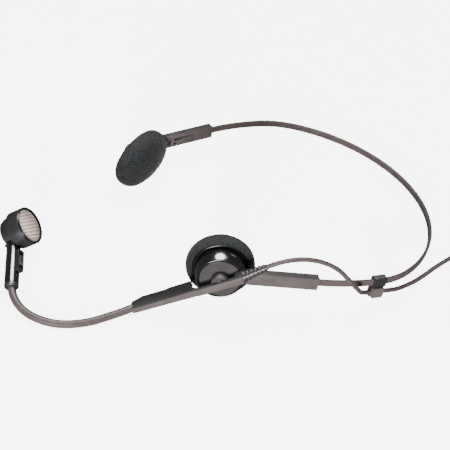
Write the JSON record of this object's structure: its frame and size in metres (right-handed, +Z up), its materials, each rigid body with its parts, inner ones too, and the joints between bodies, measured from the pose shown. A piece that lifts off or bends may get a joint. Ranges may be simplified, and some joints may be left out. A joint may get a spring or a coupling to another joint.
{
  "type": "headset microphone",
  "caption": "Behind-the-head headset microphone with two round foam pads, a pivoting gooseneck boom to a round capsule head, a band clip and a coiled lead with a locking jack plug",
  "frame": {"origin": "on the table the headset lies on, under the middle of the headset's box without its lead", "axes": "+X the wearer's left, -Y the way the wearer faces, +Z up from the table"},
  "size_m": [0.1855, 0.3273, 0.0488],
  "materials": {
    "band_sleeve": "matte warm grey-brown soft-touch sleeve",
    "spring_steel": "bright spring steel",
    "steel": "plain turned steel",
    "arm_plastic": "black moulded plastic, fine satin grain",
    "gloss_plastic": "polished black moulded plastic",
    "satin_plate": "very dark grey satin plastic",
    "pad_foam": "charcoal open-cell foam",
    "grille_mesh": "pale woven steel mesh",
    "screen_foam": "thin black foam",
    "circuit_board": "green laminate",
    "boom_sleeve": "matte warm grey-brown rubber",
    "boom_core": "bendable steel core",
    "switch_plastic": "black ribbed plastic",
    "capsule_steel": "zinc plated magnet and pot",
    "diaphragm_film": "metallised film with a copper voice coil",
    "clip_plastic": "black nylon",
    "cable_jacket": "matte warm grey-brown flexible jacket",
    "plug_shell": "black plated turned brass",
    "plug_boot": "black rubber",
    "plug_contact": "gold plated brass"
  },
  "bodies": {
    "headband": {"arm_screws": "steel", "band_clamps": "steel", "band_sleeve": "band_sleeve", "band_spring": "spring_steel", "cable_coil": "cable_jacket", "cable_lead": "cable_jacket", "cable_loop": "cable_jacket", "cable_tail": "cable_jacket", "clip_body": "clip_plastic", "clip_gate": "clip_plastic", "coil_tie": "clip_plastic", "cup_base": "arm_plastic", "cup_bezel": "gloss_plastic", "cup_face": "satin_plate", "cup_screws": "steel", "cup_shell": "gloss_plastic", "left_arm_inner": "arm_plastic", "left_arm_outer": "arm_plastic", "plug_boot": "plug_boot", "plug_shell": "plug_shell", "plug_sleeve_contact": "plug_contact", "plug_tip_contact": "plug_contact", "right_arm_inner": "arm_plastic", "right_arm_outer": "arm_plastic", "slide_friction_spring": "spring_steel"},
    "right_slide": {"right_slide": "arm_plastic"},
    "right_pad": {"right_pad_foam": "pad_foam", "right_pad_plate": "arm_plastic"},
    "left_pad": {"left_pad_foam": "pad_foam", "left_pad_plate": "arm_plastic"},
    "stem": {"pivot_shaft": "steel", "pivot_clip": "spring_steel", "pivot_wave_washer": "spring_steel", "pivot_hub": "gloss_plastic", "stem_shell": "arm_plastic", "stem_front_plate": "satin_plate", "stem_back_leaf": "spring_steel", "stem_terminal_board": "circuit_board", "strain_relief": "cable_jacket", "boom_sleeve_1": "boom_sleeve", "boom_core_1": "boom_core"},
    "boom_2": {"boom_sleeve_2": "boom_sleeve", "boom_core_2": "boom_core"},
    "boom_3": {"boom_sleeve_3": "boom_sleeve", "boom_core_3": "boom_core"},
    "mic": {"boom_sleeve_4": "boom_sleeve", "boom_core_4": "boom_core", "barrel_shell": "gloss_plastic", "barrel_collar": "gloss_plastic", "switch_frame": "switch_plastic", "head_shell": "gloss_plastic", "head_rear_collar": "gloss_plastic", "head_front_ring": "gloss_plastic", "front_grille": "grille_mesh", "rear_grille": "grille_mesh", "head_foam_discs": "screen_foam", "capsule_magnet": "capsule_steel", "capsule_diaphragm": "diaphragm_film"},
    "switch": {"switch_slider": "switch_plastic"},
    "lock_ring": {"plug_lock_ring": "plug_shell"}
  },
  "joints": [
    {"name": "right_arm_slide", "type": "slide", "parent": "headband", "child": "right_slide", "axis": [0.2603, -0.9561, 0.1343], "range_m": [-0.003, 0.006]},
    {"name": "right_pad_tilt", "type": "hinge", "parent": "right_slide", "child": "right_pad", "pos_m": [-0.06259, -0.03464, 0.0209], "axis": [-0.0638, 0.1218, 0.9905], "range_deg": [-12, 3]},
    {"name": "left_pad_tilt", "type": "hinge", "parent": "headband", "child": "left_pad", "pos_m": [0.0549, -0.02373, 0.02616], "axis": [-0.0638, 0.1218, 0.9905], "range_deg": [-2, 4]},
    {"name": "boom_pivot", "type": "hinge", "parent": "headband", "child": "stem", "pos_m": [0.06882, -0.02985, 0.02781], "axis": [-0.9103, 0.3998, -0.1078], "range_deg": [-10, 60], "deforming": ["cable_loop"]},
    {"name": "boom_bend_1", "type": "hinge", "parent": "stem", "child": "boom_2", "pos_m": [0.0545, -0.093, 0.0025], "axis": [0, 0, -1], "range_deg": [-10, 14]},
    {"name": "boom_bend_2", "type": "hinge", "parent": "boom_2", "child": "boom_3", "pos_m": [0.0535, -0.1147, 0.0025], "axis": [0, 0, -1], "range_deg": [-10, 14]},
    {"name": "boom_bend_3", "type": "hinge", "parent": "boom_3", "child": "mic", "pos_m": [0.0394, -0.1335, 0.003], "axis": [0, 0, -1], "range_deg": [-10, 14]},
    {"name": "switch_slide", "type": "slide", "parent": "mic", "child": "switch", "axis": [-0.9279, 0.3093, 0.208], "range_m": [-0.0015, 0.0015]},
    {"name": "lock_ring_spin", "type": "hinge", "parent": "headband", "child": "lock_ring", "pos_m": [0.0938, 0.13775, 0.0052], "axis": [0, -1, 0], "continuous": true}
  ],
  "couplings": [
    {"joint": "boom_bend_2", "follows": "boom_bend_1", "ratio": 1},
    {"joint": "boom_bend_3", "follows": "boom_bend_1", "ratio": 1}
  ]
}
